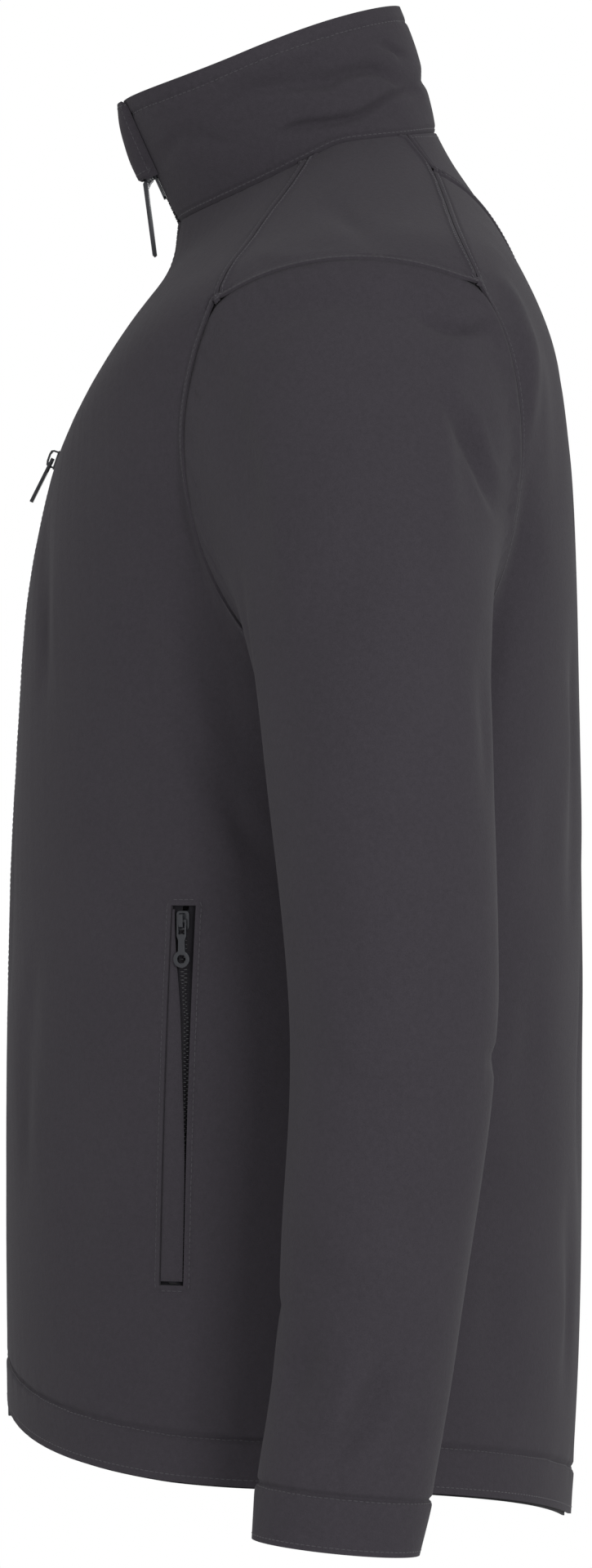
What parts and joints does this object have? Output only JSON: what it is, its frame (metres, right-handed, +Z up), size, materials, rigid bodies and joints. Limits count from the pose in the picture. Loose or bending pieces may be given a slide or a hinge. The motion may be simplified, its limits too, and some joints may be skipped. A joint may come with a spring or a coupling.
{
  "type": "midlayer jacket",
  "caption": "Charcoal softshell jacket with a stand collar, full front zip, zipped pockets and long sleeves, hollow as worn.",
  "frame": {"origin": "middle of the neck opening at the height of the side neck", "axes": "+Z up, the front faces -Y, +X to the wearer's left"},
  "size_m": [0.6702, 0.3032, 0.793],
  "materials": {
    "cloth": "matte tightly woven softshell",
    "zip_tape": "matte woven tape and moulded teeth",
    "hardware": "satin dark paint"
  },
  "bodies": {
    "jacket": {"back": "cloth", "chest_slider": "hardware", "chest_zip": "zip_tape", "collar": "cloth", "front_left": "cloth", "front_right": "cloth", "front_zip_box": "hardware", "front_zip_left": "zip_tape", "front_zip_right": "zip_tape", "front_zip_slider": "hardware", "hem_facing": "zip_tape", "pocket_slider_left": "hardware", "pocket_slider_right": "hardware", "pocket_welt_left": "cloth", "pocket_welt_right": "cloth", "pocket_zip_left": "zip_tape", "pocket_zip_right": "zip_tape", "shoulder_left": "cloth", "shoulder_right": "cloth", "sleeve_left": "cloth", "sleeve_right": "cloth", "yoke": "cloth", "zip_garage": "cloth"},
    "front_zip_tab": {"front_zip_tab": "hardware"},
    "pocket_tab_left": {"pocket_tab_left": "hardware"},
    "pocket_tab_right": {"pocket_tab_right": "hardware"},
    "chest_tab": {"chest_tab": "hardware"}
  },
  "joints": [
    {"name": "front_zip_tab_hinge", "type": "hinge", "parent": "jacket", "child": "front_zip_tab", "pos_m": [0, -0.09295, -0.01071], "axis": [-1, 0, 0], "range_deg": [-4, 12]},
    {"name": "pocket_tab_left_hinge", "type": "hinge", "parent": "jacket", "child": "pocket_tab_left", "pos_m": [0.19547, -0.07337, -0.39796], "axis": [-0.3183, -0.948, 0], "range_deg": [0, 150]},
    {"name": "pocket_tab_right_hinge", "type": "hinge", "parent": "jacket", "child": "pocket_tab_right", "pos_m": [-0.19547, -0.07337, -0.39796], "axis": [-0.3183, 0.948, 0], "range_deg": [0, 150]},
    {"name": "chest_tab_hinge", "type": "hinge", "parent": "jacket", "child": "chest_tab", "pos_m": [-0.03865, -0.14553, -0.15682], "axis": [-0.9989, 0.0468, 0], "range_deg": [0, 150]}
  ]
}
